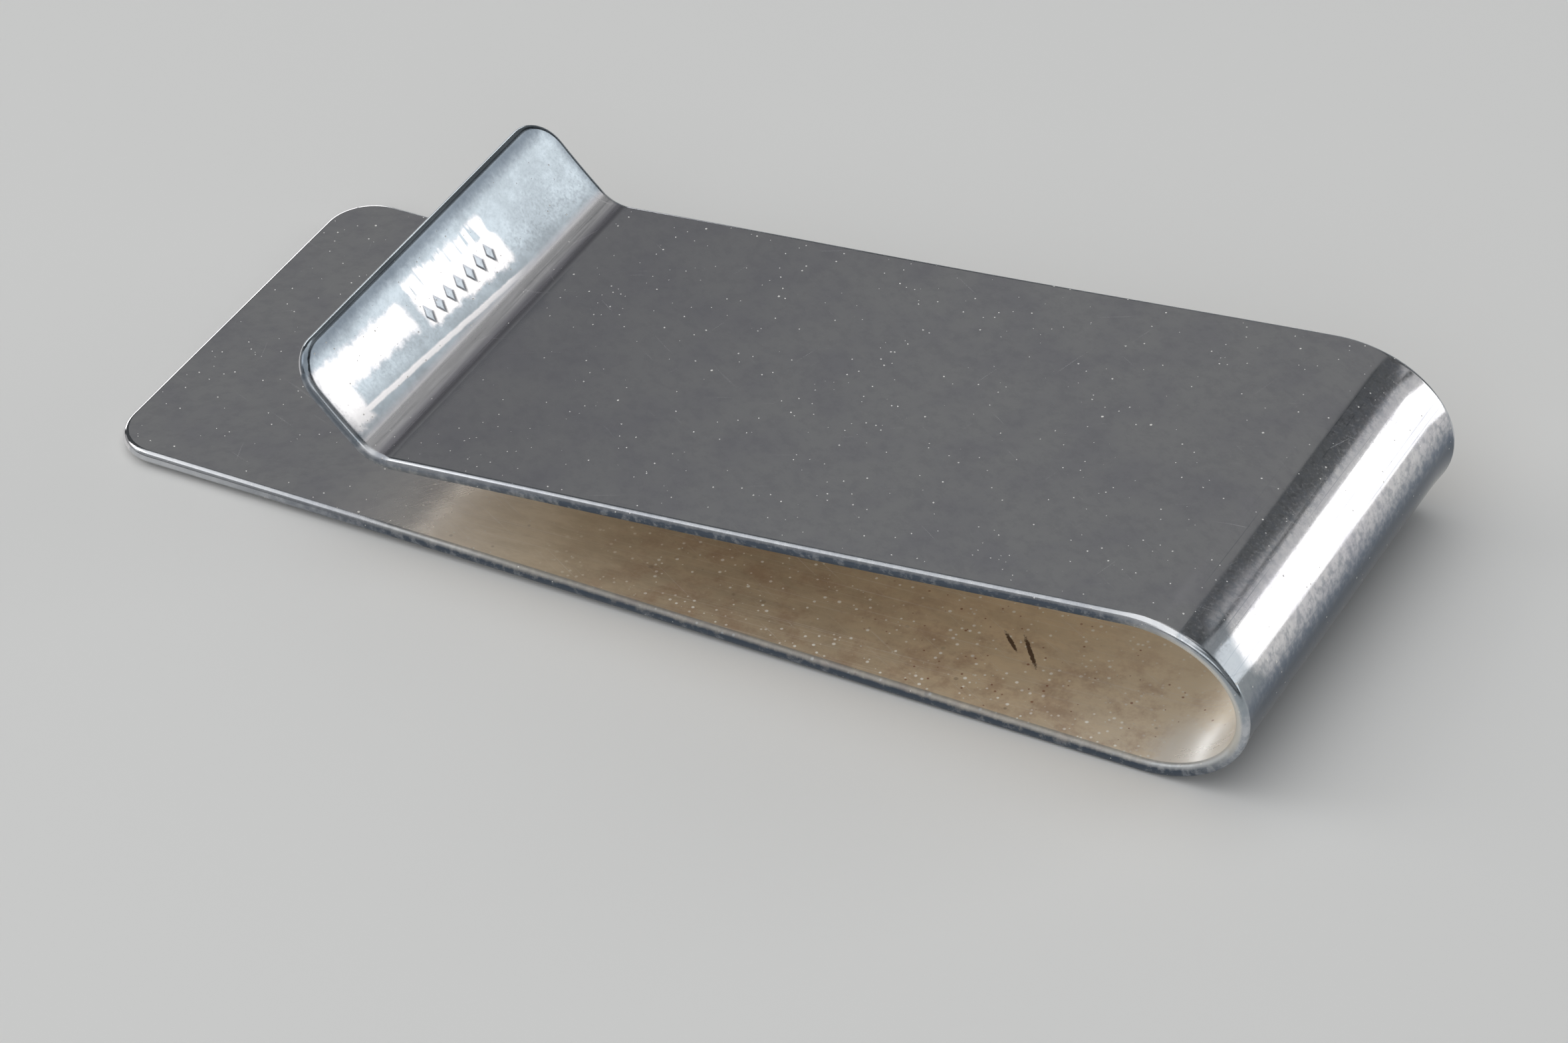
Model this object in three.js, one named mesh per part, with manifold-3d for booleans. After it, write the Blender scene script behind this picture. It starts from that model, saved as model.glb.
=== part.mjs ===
// Money clip: one strip of silver, bent into a flat back leaf, a U-shaped bow, a sloping spring leaf, a tight
// fold and a flared thumb lip. Millimetres. +X points to the bow, +Y across the strip, +Z up. The origin is the
// middle of the footprint, on the surface that the back leaf lies on.
// The strip is divided into its named zones by fine saw cuts, so that each zone is one closed solid.
import * as THREE from "three";
import { mergeVertices } from "three/addons/utils/BufferGeometryUtils.js";
import Module from "manifold-3d";

const wasm = await Module();
wasm.setup();

// The blank that the clip is bent from
const stripWidth = 19.05;
const stripGauge = 0.56;
const edgeLand = 0.04; // flat that polishing leaves between the two rounded corners of an edge
const backCornerRadius = 2.1;
const lipCornerRadius = 1.7;

// The bends, all measured to the middle of the strip's thickness
const clipLength = 50.6; // free end of the back leaf to the outside of the bow
const bowReach = 4.15; // how far the bow runs past its centre, along the clip
const bowRise = 3.38; // half of the distance between the two leaves at the bow
const springSlope = THREE.MathUtils.degToRad(5.6); // fall of the spring leaf from the bow to the fold
const springLength = 31.9;
const foldRadius = 1.74;
const lipAngle = THREE.MathUtils.degToRad(48.5); // rise of the thumb lip above the level
const lipLength = 4.25; // end of the fold to the tip of the lip

const sawCut = 0.3; // width of the cut between two zones
const bowCut = 0.6; // the cut halfway round the bow, wider so that its two faces stay apart as the clip opens
const roundSegments = 4; // facets in a quarter of the strip's rounded edge
const cornerSegments = 8;
const bendSegments = 18;

const edgeRadius = (stripGauge - edgeLand) / 2;
const halfPi = Math.PI / 2;

// The side view: each zone's centreline as a curve in the plane of X and Z, in order from the free end.
const freeEnd = -clipLength / 2;
const bowCentre = new THREE.Vector2(clipLength / 2 - stripGauge / 2 - bowReach, stripGauge / 2 + bowRise);
const bowEndAngle = halfPi + Math.atan((bowReach / bowRise) * Math.tan(springSlope));

const backBowLine = new THREE.EllipseCurve(bowCentre.x, bowCentre.y, bowReach, bowRise, -halfPi, 0);
const frontBowLine = new THREE.EllipseCurve(bowCentre.x, bowCentre.y, bowReach, bowRise, 0, bowEndAngle);

const springHeading = new THREE.Vector2(-Math.cos(springSlope), -Math.sin(springSlope));
const springStart = frontBowLine.getPoint(1);
const springEnd = springStart.clone().addScaledVector(springHeading, springLength);
const springLine = new THREE.LineCurve(springStart, springEnd);

const foldCentre = springEnd
  .clone()
  .add(new THREE.Vector2(-Math.sin(springSlope), Math.cos(springSlope)).multiplyScalar(foldRadius));
const foldLine = new THREE.EllipseCurve(
  foldCentre.x,
  foldCentre.y,
  foldRadius,
  foldRadius,
  springSlope - halfPi,
  -lipAngle - halfPi,
  true,
);

const lipHeading = new THREE.Vector2(-Math.cos(lipAngle), Math.sin(lipAngle));
const lipTip = foldLine.getPoint(1).addScaledVector(lipHeading, lipLength);

// A zone's path through space: its side-view curve with half a cut taken off each end. The width of the strip
// stays on the Y axis all the way.
class ZonePath extends THREE.Curve {
  constructor(sideView, startCut, endCut) {
    super();
    this.sideView = sideView;
    this.startShare = startCut / 2 / sideView.getLength();
    this.endShare = 1 - endCut / 2 / sideView.getLength();
  }

  share(t) {
    return THREE.MathUtils.lerp(this.startShare, this.endShare, t);
  }

  getPoint(t, target = new THREE.Vector3()) {
    const point = this.sideView.getPointAt(this.share(t));
    return target.set(point.x, 0, point.y);
  }

  computeFrenetFrames(segments) {
    const frames = { tangents: [], normals: [], binormals: [] };
    for (let i = 0; i <= segments; i += 1) {
      const heading = this.sideView.getTangentAt(this.share(i / segments));
      const tangent = new THREE.Vector3(heading.x, 0, heading.y).normalize();
      const normal = new THREE.Vector3(0, -1, 0);
      frames.tangents.push(tangent);
      frames.normals.push(normal);
      frames.binormals.push(new THREE.Vector3().crossVectors(tangent, normal));
    }
    return frames;
  }
}

// Rectangle with its own radius on each end: low X corners get lowRadius, high X corners get highRadius.
function roundedRectangle(lowX, highX, halfHeight, lowRadius, highRadius) {
  const shape = new THREE.Shape();
  shape.moveTo(lowX + lowRadius, -halfHeight);
  shape.lineTo(highX - highRadius, -halfHeight);
  if (highRadius > 0) {
    shape.absarc(highX - highRadius, highRadius - halfHeight, highRadius, -halfPi, 0, false);
    shape.absarc(highX - highRadius, halfHeight - highRadius, highRadius, 0, halfPi, false);
  } else {
    shape.lineTo(highX, halfHeight);
  }
  shape.absarc(lowX + lowRadius, halfHeight - lowRadius, lowRadius, halfPi, Math.PI, false);
  shape.absarc(lowX + lowRadius, lowRadius - halfHeight, lowRadius, Math.PI, Math.PI + halfPi, false);
  shape.closePath();
  return shape;
}

function toSolid(geometry) {
  const bare = geometry.clone();
  bare.deleteAttribute("normal");
  bare.deleteAttribute("uv");
  const merged = mergeVertices(bare, 1e-4);
  return new wasm.Manifold(
    new wasm.Mesh({
      numProp: 3,
      vertProperties: new Float32Array(merged.attributes.position.array),
      triVerts: new Uint32Array(merged.index.array),
    }),
  );
}

function toGeometry(solid) {
  const mesh = solid.getMesh();
  const geometry = new THREE.BufferGeometry();
  geometry.setAttribute("position", new THREE.BufferAttribute(mesh.vertProperties, 3));
  geometry.setIndex(new THREE.BufferAttribute(mesh.triVerts, 1));
  geometry.computeVertexNormals();
  return geometry;
}

// A zone with both ends cut: the strip's rounded section swept along the zone's centreline.
function sweptZone(sideView, steps, startCut = sawCut, endCut = sawCut) {
  const section = roundedRectangle(-stripWidth / 2, stripWidth / 2, stripGauge / 2, edgeRadius, edgeRadius);
  return new THREE.ExtrudeGeometry(section, {
    extrudePath: new ZonePath(sideView, startCut, endCut),
    steps,
    curveSegments: roundSegments,
    bevelEnabled: false,
  });
}

// A flat zone with one free end: its tip is at the origin, it runs along +X, and it is cut square at the far end.
// Its rounded corners and rounded rim come from one bevelled outline, which reaches past the cut.
function freeEndZone(length, cornerRadius) {
  const cutLength = length - sawCut / 2;
  const overrun = 2 * stripGauge;
  const outline = roundedRectangle(0, cutLength + overrun, stripWidth / 2, cornerRadius, 0);
  const plate = new THREE.ExtrudeGeometry(outline, {
    depth: edgeLand,
    curveSegments: cornerSegments,
    bevelThickness: edgeRadius,
    bevelSize: edgeRadius,
    bevelOffset: -edgeRadius,
    bevelSegments: roundSegments,
  });
  plate.translate(0, 0, -edgeLand / 2);
  const keep = new THREE.BoxGeometry(2 * cutLength, 2 * stripWidth, 2 * stripGauge);
  return toGeometry(toSolid(plate).intersect(toSolid(keep)));
}

const silver = { color: 0xc4c1bb, roughness: 0.3, metalness: 1 };
const brightSilver = { color: 0xdcdcda, roughness: 0.18, metalness: 1 };

function zoneMesh(name, geometry, finish) {
  const mesh = new THREE.Mesh(geometry, new THREE.MeshStandardMaterial(finish));
  mesh.name = name;
  return mesh;
}

function backLeaf() {
  const mesh = zoneMesh("back_leaf", freeEndZone(bowCentre.x - freeEnd, backCornerRadius), silver);
  mesh.position.set(freeEnd, 0, stripGauge / 2);
  return mesh;
}

function backBow() {
  return zoneMesh("back_bow", sweptZone(backBowLine, bendSegments, sawCut, bowCut), brightSilver);
}

function frontBow() {
  return zoneMesh("front_bow", sweptZone(frontBowLine, bendSegments, bowCut, sawCut), brightSilver);
}

function springLeaf() {
  return zoneMesh("spring_leaf", sweptZone(springLine, 1), silver);
}

function leafFold() {
  return zoneMesh("leaf_fold", sweptZone(foldLine, bendSegments / 2), silver);
}

function thumbLip() {
  const mesh = zoneMesh("thumb_lip", freeEndZone(lipLength, lipCornerRadius), brightSilver);
  mesh.position.set(lipTip.x, 0, lipTip.y);
  mesh.rotation.y = lipAngle;
  return mesh;
}

// The back leaf and the lower half of the bow stay still; the rest swings about the bow as the clip is opened.
const stillBody = new THREE.Group();
stillBody.add(backLeaf(), backBow());

const springBody = new THREE.Group();
springBody.add(frontBow(), springLeaf(), leafFold(), thumbLip());

const moneyClip = new THREE.Group();
moneyClip.add(stillBody, springBody);

export default moneyClip;
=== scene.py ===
"""Adds a money clip bent from one strip of silver, with the small studio that it is shown in."""

import bisect
import math

import bmesh
import bpy
from bpy.props import FloatProperty, FloatVectorProperty, IntProperty, PointerProperty
from mathutils import Matrix, Vector


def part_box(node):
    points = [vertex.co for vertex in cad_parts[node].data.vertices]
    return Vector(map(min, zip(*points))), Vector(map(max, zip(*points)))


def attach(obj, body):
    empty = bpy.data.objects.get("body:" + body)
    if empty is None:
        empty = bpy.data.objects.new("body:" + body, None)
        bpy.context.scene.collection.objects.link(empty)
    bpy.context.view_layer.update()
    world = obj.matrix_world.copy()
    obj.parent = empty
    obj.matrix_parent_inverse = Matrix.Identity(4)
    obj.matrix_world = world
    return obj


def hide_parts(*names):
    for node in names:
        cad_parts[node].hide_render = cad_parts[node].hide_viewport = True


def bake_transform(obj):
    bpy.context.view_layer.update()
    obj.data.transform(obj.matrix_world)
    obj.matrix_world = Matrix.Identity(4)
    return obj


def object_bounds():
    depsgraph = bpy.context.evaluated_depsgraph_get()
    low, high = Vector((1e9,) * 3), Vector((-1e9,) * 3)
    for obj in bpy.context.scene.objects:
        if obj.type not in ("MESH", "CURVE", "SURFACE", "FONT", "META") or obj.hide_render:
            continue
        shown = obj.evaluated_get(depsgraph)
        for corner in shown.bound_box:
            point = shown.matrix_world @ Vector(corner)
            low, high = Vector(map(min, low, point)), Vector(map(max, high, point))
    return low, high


bl_info = {
    "name": "Money Clip",
    "version": (1, 0, 0),
    "blender": (4, 5, 0),
    "location": "View3D > Sidebar > Money Clip",
    "description": "Bends a money clip from one strip of silver and sets up its studio",
    "category": "Add Mesh",
}

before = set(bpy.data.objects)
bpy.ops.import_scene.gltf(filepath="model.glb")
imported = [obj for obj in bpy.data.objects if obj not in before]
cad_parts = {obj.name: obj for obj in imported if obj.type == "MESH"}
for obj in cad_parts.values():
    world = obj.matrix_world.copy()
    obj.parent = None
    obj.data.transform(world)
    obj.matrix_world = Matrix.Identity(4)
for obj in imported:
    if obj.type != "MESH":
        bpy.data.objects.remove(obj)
cad_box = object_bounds()

MM = 0.001
SAW_CUT = 0.3 * MM  # the gap that divides the zones of the frame's strip

leaf_low, leaf_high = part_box("back_leaf")
GAUGE = leaf_high.z - leaf_low.z
WIDTH = leaf_high.y - leaf_low.y
FREE_END = leaf_low.x
BOW_START = leaf_high.x + SAW_CUT / 2
CLIP_CENTRE = (cad_box[0] + cad_box[1]) / 2


# --- sizes and colours ---


def length(name, description, default):
    return FloatProperty(
        name=name, description=description, default=default, unit="LENGTH", precision=5
    )


def angle(name, description, degrees):
    return FloatProperty(
        name=name, description=description, default=math.radians(degrees), unit="ROTATION"
    )


def colour(name, description, default):
    return FloatVectorProperty(
        name=name, description=description, default=default, subtype="COLOR", min=0, max=1
    )


def share(name, description, default):
    return FloatProperty(name=name, description=description, default=default, min=0, max=1)


class ClipSizes(bpy.types.PropertyGroup):
    """Sizes of the strip and of its bends."""

    width: length("Width", "Width of the strip", WIDTH)
    gauge: length("Gauge", "Thickness of the strip", GAUGE)
    edge_land: length("Edge land", "Flat left in the middle of the rounded edge", 0.04 * MM)
    free_end: length("Free end", "Place of the back leaf's free end", FREE_END)
    bow_start: length("Bow start", "Place where the back leaf turns into the bow", BOW_START)
    back_corner: length("Back corner", "Corner radius of the back leaf's free end", 2.1 * MM)
    lip_corner: length("Lip corner", "Corner radius of the thumb lip", 1.7 * MM)
    leaf_lift: length("Leaf lift", "Height of the free end off the table", 0.19 * MM)
    bow_reach: length("Bow reach", "Half axis of the bow along the clip", 4.15 * MM)
    bow_rise: length("Bow rise", "Half axis of the bow upwards", 3.38 * MM)
    bow_flare: length("Bow flare", "How far the bow's edges stand proud of its middle", 0.095 * MM)
    flare_width: length("Flare width", "Width of the flared band at each edge of the bow", 1.7 * MM)
    spring_slope: angle("Spring slope", "Slope of the spring leaf towards the back leaf", 5.6)
    spring_length: length("Spring length", "Length of the spring leaf", 31.9 * MM)
    spring_sag: length("Spring sag", "How far the spring leaf sags in its middle", 0.08 * MM)
    fold_radius: length("Fold radius", "Radius of the fold at the strip's middle", 1.74 * MM)
    lip_root_angle: angle("Lip root angle", "Rise of the thumb lip where it leaves the fold", 44.4)
    lip_tip_angle: angle("Lip tip angle", "Rise of the thumb lip at its tip", 52.7)
    lip_length: length("Lip length", "Length of the thumb lip", 4.375 * MM)
    punch_row: length("Punch row", "Length of the row of punched ornaments", 5.4 * MM)
    punch_height: length("Punch height", "Height of a punched lozenge", 1.05 * MM)
    punch_depth: length("Punch depth", "Depth of the punched ornaments", 0.010 * MM)
    punch_place: length("Punch place", "Height of the punched row above the fold", 1.65 * MM)
    punch_count: IntProperty(name="Lozenges", description="Lozenges in the punched row", default=7)


class SilverColours(bpy.types.PropertyGroup):
    """Colours and polish of the silver."""

    silver: colour("Silver", "Clean polished silver", (0.905, 0.888, 0.892))
    # haze also paints the shade at the start of the fold and on the spring leaf towards the fold.
    haze: colour("Haze", "Silver dulled by handling", (0.68, 0.66, 0.73))
    # pale_blue also paints the shade that ends the bow's highlight at its front end.
    pale_blue: colour("Pale blue film", "Thin film on the thumb lip", (0.47, 0.53, 0.575))
    tan: colour("Tan tarnish", "Tarnish inside the slot", (0.82, 0.69, 0.51))
    cream: colour("Cream tarnish", "Light tarnish inside the bow", (0.94, 0.86, 0.73))
    rust: colour("Rust specks", "Reddish specks inside the slot", (0.33, 0.14, 0.08))
    brown: colour("Brown tarnish", "Spots and marks inside the slot", (0.13, 0.08, 0.05))
    # steel also paints shade on the lower bow and on the punch walls.
    steel: colour("Steel tarnish", "Blue-grey tarnish on the bends and edges", (0.16, 0.20, 0.26))
    # deep paints shade under the bow, and is partly tarnish and partly painted shade on the lip's
    # rim and the side edges.
    deep: colour("Deep tarnish", "Dark tarnish under the bow and on rims", (0.065, 0.085, 0.115))
    dust: colour("Dust", "Specks of dust", (0.85, 0.84, 0.80))
    # Painted glints: white specks in the slot.
    painted_glints: colour("Sparkle", "Bright specks inside the slot", (1.0, 0.98, 0.92))
    # smear: partly smoother metal, partly a painted highlight inside the bow.
    smear_highlight: colour("Smear", "Pale smear inside the bow", (0.97, 0.97, 0.96))
    polish: share("Polish", "Roughness of the polished faces", 0.09)
    slot_polish: share("Slot polish", "Roughness of the faces inside the slot", 0.36)


class StudioSetup(bpy.types.PropertyGroup):
    """Camera, floor and softboxes."""

    aim: FloatVectorProperty(
        name="Aim",
        description="Point that the camera looks at",
        default=CLIP_CENTRE + Vector((1.68, -1.70, -3.97)) * MM,
        subtype="XYZ",
        unit="LENGTH",
    )
    camera_distance: length("Camera distance", "From the camera to the point of aim", 0.2249)
    camera_azimuth: angle("Camera azimuth", "Turn of the camera round the clip", 30.925)
    camera_elevation: angle("Camera elevation", "Height of the camera over the table", 37.895)
    camera_roll: angle("Camera roll", "Roll of the camera about its line of sight", -3.758)
    lens: FloatProperty(name="Lens", description="Focal length in mm", default=131.26)
    floor_colour: colour("Floor", "Pale floor", (0.80, 0.80, 0.79))
    floor_roughness: share("Floor roughness", "Roughness of the floor", 0.75)
    room_colour: colour("Room", "Colour of the dim room", (0.86, 0.95, 1.0))
    room_light: share("Room light", "Brightness of the dim room", 0.06)


# --- the strip's centreline ---


def smooth(value, low, high):
    """0 below low, 1 above high and a smooth rise between them."""
    t = min(1.0, max(0.0, (value - low) / (high - low)))
    return t * t * (3 - 2 * t)


class Centreline:
    """The line through the middle of the strip's gauge, measured along the strip from the
    back leaf's free end to the lip's tip. at() gives its place and its direction."""

    BOW_SAMPLES = 720
    LIFTED_SHARE = 0.75  # share of the back leaf over which it lifts off the table

    def __init__(self, sizes):
        self.sizes = sizes
        self.leaf = sizes.bow_start - sizes.free_end
        self.bow_low = -math.pi / 2
        slope = sizes.spring_slope
        reach, rise = sizes.bow_reach, sizes.bow_rise
        self.bow_high = math.pi / 2 + math.atan(reach / rise * math.tan(slope))
        self.bow_lengths = [0.0]
        previous = self.bow_point(self.bow_low)
        for i in range(1, self.BOW_SAMPLES + 1):
            point = self.bow_point(self.bow_angle(i))
            self.bow_lengths.append(self.bow_lengths[-1] + (point - previous).length)
            previous = point
        self.fold_turn = slope + sizes.lip_root_angle
        self.bow_end = self.leaf + self.bow_lengths[-1]
        self.spring_end = self.bow_end + sizes.spring_length
        self.fold_end = self.spring_end + sizes.fold_radius * self.fold_turn
        self.tip = self.fold_end + sizes.lip_length

    def bow_angle(self, sample):
        return self.bow_low + (self.bow_high - self.bow_low) * sample / self.BOW_SAMPLES

    def bow_point(self, t):
        s = self.sizes
        height = s.gauge / 2 + s.bow_rise
        return Vector((s.bow_start + s.bow_reach * math.cos(t), height + s.bow_rise * math.sin(t)))

    def at(self, distance):
        """The centreline's point (x, z) and its direction, an angle up from +X."""
        if distance <= self.leaf:
            return self.on_leaf(distance)
        if distance <= self.bow_end:
            return self.on_bow(distance - self.leaf)
        if distance <= self.spring_end:
            return self.on_spring(distance - self.bow_end)
        if distance <= self.fold_end:
            return self.on_fold(distance - self.spring_end)
        return self.on_lip(distance - self.fold_end)

    def on_leaf(self, d):
        s = self.sizes
        lifting = self.leaf * self.LIFTED_SHARE
        share_lifted = min(1.0, (self.leaf - d) / lifting)
        height = s.leaf_lift * (1 - math.cos(math.pi * share_lifted)) / 2
        slope = -s.leaf_lift * math.pi / 2 * math.sin(math.pi * share_lifted) / lifting
        return Vector((s.free_end + d, s.gauge / 2 + height)), math.atan(slope)

    def on_bow(self, d):
        i = min(bisect.bisect_right(self.bow_lengths, d), self.BOW_SAMPLES) - 1
        low, high = self.bow_lengths[i], self.bow_lengths[i + 1]
        t = self.bow_angle(i + (d - low) / (high - low))
        s = self.sizes
        return self.bow_point(t), math.atan2(s.bow_rise * math.cos(t), -s.bow_reach * math.sin(t))

    def on_spring(self, d):
        s = self.sizes
        heading = math.pi + s.spring_slope
        ahead = Vector((math.cos(heading), math.sin(heading)))
        down = Vector((-ahead.y, ahead.x))
        turn = math.tau * d / s.spring_length
        sag = s.spring_sag * (1 - math.cos(turn)) / 2
        tilt = math.atan(s.spring_sag * math.pi / s.spring_length * math.sin(turn))
        return self.bow_point(self.bow_high) + ahead * d + down * sag, heading + tilt

    def on_fold(self, d):
        s = self.sizes
        start, _ = self.on_spring(s.spring_length)
        return self.on_arc(start, math.pi + s.spring_slope, s.fold_radius, d)

    def on_lip(self, d):
        s = self.sizes
        start, heading = self.on_fold(s.fold_radius * self.fold_turn)
        return self.on_arc(start, heading, s.lip_length / (s.lip_tip_angle - s.lip_root_angle), d)

    def on_arc(self, start, heading, radius, d):
        """The place d along an arc that leaves start at heading and turns up."""
        turned = heading - d / radius
        middle = start + Vector((math.sin(heading), -math.cos(heading))) * radius
        return middle - Vector((math.sin(turned), -math.cos(turned))) * radius, turned


# --- blanks and bending ---

RIM_SEGMENTS = 6
CORNER_SEGMENTS = 16
HOLD = 0.03 * MM  # a cut this close to the rounded edge keeps the flat faces flat in the light
TOUCH = 1e-7
FLAT_NORMAL = 0.999  # a face whose normal stands up this far is one of the strip's two faces


def round_off(bm, geom, radius, segments, affect):
    bmesh.ops.bevel(
        bm, geom=geom, offset=radius, segments=segments, profile=0.5, affect=affect, material=-1
    )


def cut_blank(sizes, start, end, corner_start=0.0, corner_end=0.0):
    """A flat plate from start to end along the strip, with rounded edges. An end with a corner
    radius is a free end. The other ends are square, because the strip goes on there."""
    bm = bmesh.new()
    bmesh.ops.create_grid(bm, x_segments=1, y_segments=1, size=0.5)
    bmesh.ops.scale(bm, verts=bm.verts, vec=(end - start, sizes.width, 1))
    bmesh.ops.translate(bm, verts=bm.verts, vec=((start + end) / 2, 0, -sizes.gauge / 2))
    middle = (start + end) / 2
    for radius, side in ((corner_start, -1), (corner_end, 1)):
        if radius:
            corners = [v for v in bm.verts if (v.co.x - middle) * side > 0]
            round_off(bm, corners, radius, CORNER_SEGMENTS, "VERTICES")
    raised = bmesh.ops.extrude_face_region(bm, geom=bm.faces[:])["geom"]
    raised_verts = [g for g in raised if isinstance(g, bmesh.types.BMVert)]
    bmesh.ops.translate(bm, verts=raised_verts, vec=(0, 0, sizes.gauge))
    bmesh.ops.recalc_face_normals(bm, faces=bm.faces)

    square_ends = [x for x, radius in ((start, corner_start), (end, corner_end)) if not radius]

    def at_square_end(e):
        return any(all(abs(v.co.x - x) < TOUCH for v in e.verts) for x in square_ends)

    flats = {f for f in bm.faces if abs(f.normal.z) > FLAT_NORMAL}
    rim = [e for e in bm.edges if not flats.isdisjoint(e.link_faces) and not at_square_end(e)]
    round_off(bm, rim, (sizes.gauge - sizes.edge_land) / 2, RIM_SEGMENTS, "EDGES")
    flats = [f for f in bm.faces if abs(f.normal.z) > FLAT_NORMAL]
    bmesh.ops.inset_region(bm, faces=flats, thickness=HOLD, use_even_offset=True)
    return bm


ALONG, ACROSS = 0, 1


def slice_blank(bm, direction, start, end, count):
    """Cuts the blank's faces at count places spread evenly between start and end, ALONG or
    ACROSS the strip."""
    normal = Vector((0, 0, 0))
    normal[direction] = 1
    for i in range(count):
        place = normal * (start + (end - start) * (i + 1) / (count + 1))
        cut = bm.verts[:] + bm.edges[:] + bm.faces[:]
        bmesh.ops.bisect_plane(bm, geom=cut, plane_co=place, plane_no=normal)


def edge_distance(sizes, line, along, across):
    """Distance from a point of the flat strip to the strip's outline, rounded corners included."""
    half = sizes.width / 2
    at_tip = along > line.tip / 2
    radius = sizes.lip_corner if at_tip else sizes.back_corner
    from_end = line.tip - along if at_tip else along
    into_end = radius - from_end
    into_side = radius - (half - abs(across))
    if into_end > 0 and into_side > 0:
        return radius - math.hypot(into_end, into_side)
    return min(from_end, half - abs(across))


def bend_blank(bm, sizes, line, flare=None):
    """Lays the blank along the centreline and notes each vertex's place on the flat strip."""
    strip = bm.verts.layers.float_vector.new("strip")
    outline = bm.verts.layers.float.new("outline")
    for v in bm.verts:
        along, across, height = v.co
        v[strip] = (along, across, height)
        v[outline] = edge_distance(sizes, line, along, across)
        if flare:
            height += flare(along, across)
        point, heading = line.at(along)
        v.co = (
            point.x + height * math.sin(heading),
            across,
            point.y - height * math.cos(heading),
        )
    bmesh.ops.recalc_face_normals(bm, faces=bm.faces)


def finish_piece(bm, name, joins, material):
    """Turns the bent blank into an object. joins are the places along the strip where it meets
    its neighbours."""
    strip = bm.verts.layers.float_vector["strip"]
    for f in bm.faces:
        at_join = any(all(abs(v[strip].x - j) < TOUCH for v in f.verts) for j in joins)
        f.smooth = not at_join
        if at_join:
            for e in f.edges:
                e.smooth = False
    mesh = bpy.data.meshes.new(name)
    bm.to_mesh(mesh)
    bm.free()
    obj = bpy.data.objects.new(name, mesh)
    bpy.context.scene.collection.objects.link(obj)
    mesh.materials.append(material)
    return obj


PUSHED_UP = 0.2  # height of the metal pushed up round a punch, as a share of its depth
LOZENGE_WIDTH = 0.72  # a lozenge's width as a share of the row's pitch


def lozenge_depth(dx, dy, half_x, half_y):
    """Depth share of a lozenge punch at a point dx, dy from its centre: 1 inside, 0 outside,
    and a little below 0 where metal is pushed up round it."""
    d = abs(dx) / half_x + abs(dy) / half_y
    pressed = 1 - smooth(d, 0.55, 1.05)
    pushed_up = smooth(d, 0.9, 1.2) * (1 - smooth(d, 1.2, 1.7))
    return pressed - PUSHED_UP * pushed_up


def press_punches(bm, sizes, line):
    """Presses a row of lozenges into the thumb side of the lip."""
    pitch = sizes.punch_row / sizes.punch_count
    half_high, half_wide = sizes.punch_height / 2, pitch * LOZENGE_WIDTH / 2
    middle = line.fold_end + sizes.punch_place
    reach = sizes.punch_height
    pressed = bm.verts.layers.float.new("punch")
    for v in bm.verts:
        along, across, height = v.co
        if height < 0 or abs(along - middle) > reach or abs(across) > sizes.punch_row:
            continue
        depth = 0.0
        for i in range(sizes.punch_count):
            centre = (i + 0.5) * pitch - sizes.punch_row / 2
            depth += lozenge_depth(along - middle, across - centre, half_high, half_wide)
        v.co.z -= depth * sizes.punch_depth
        v[pressed] = depth


# --- materials ---


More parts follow.
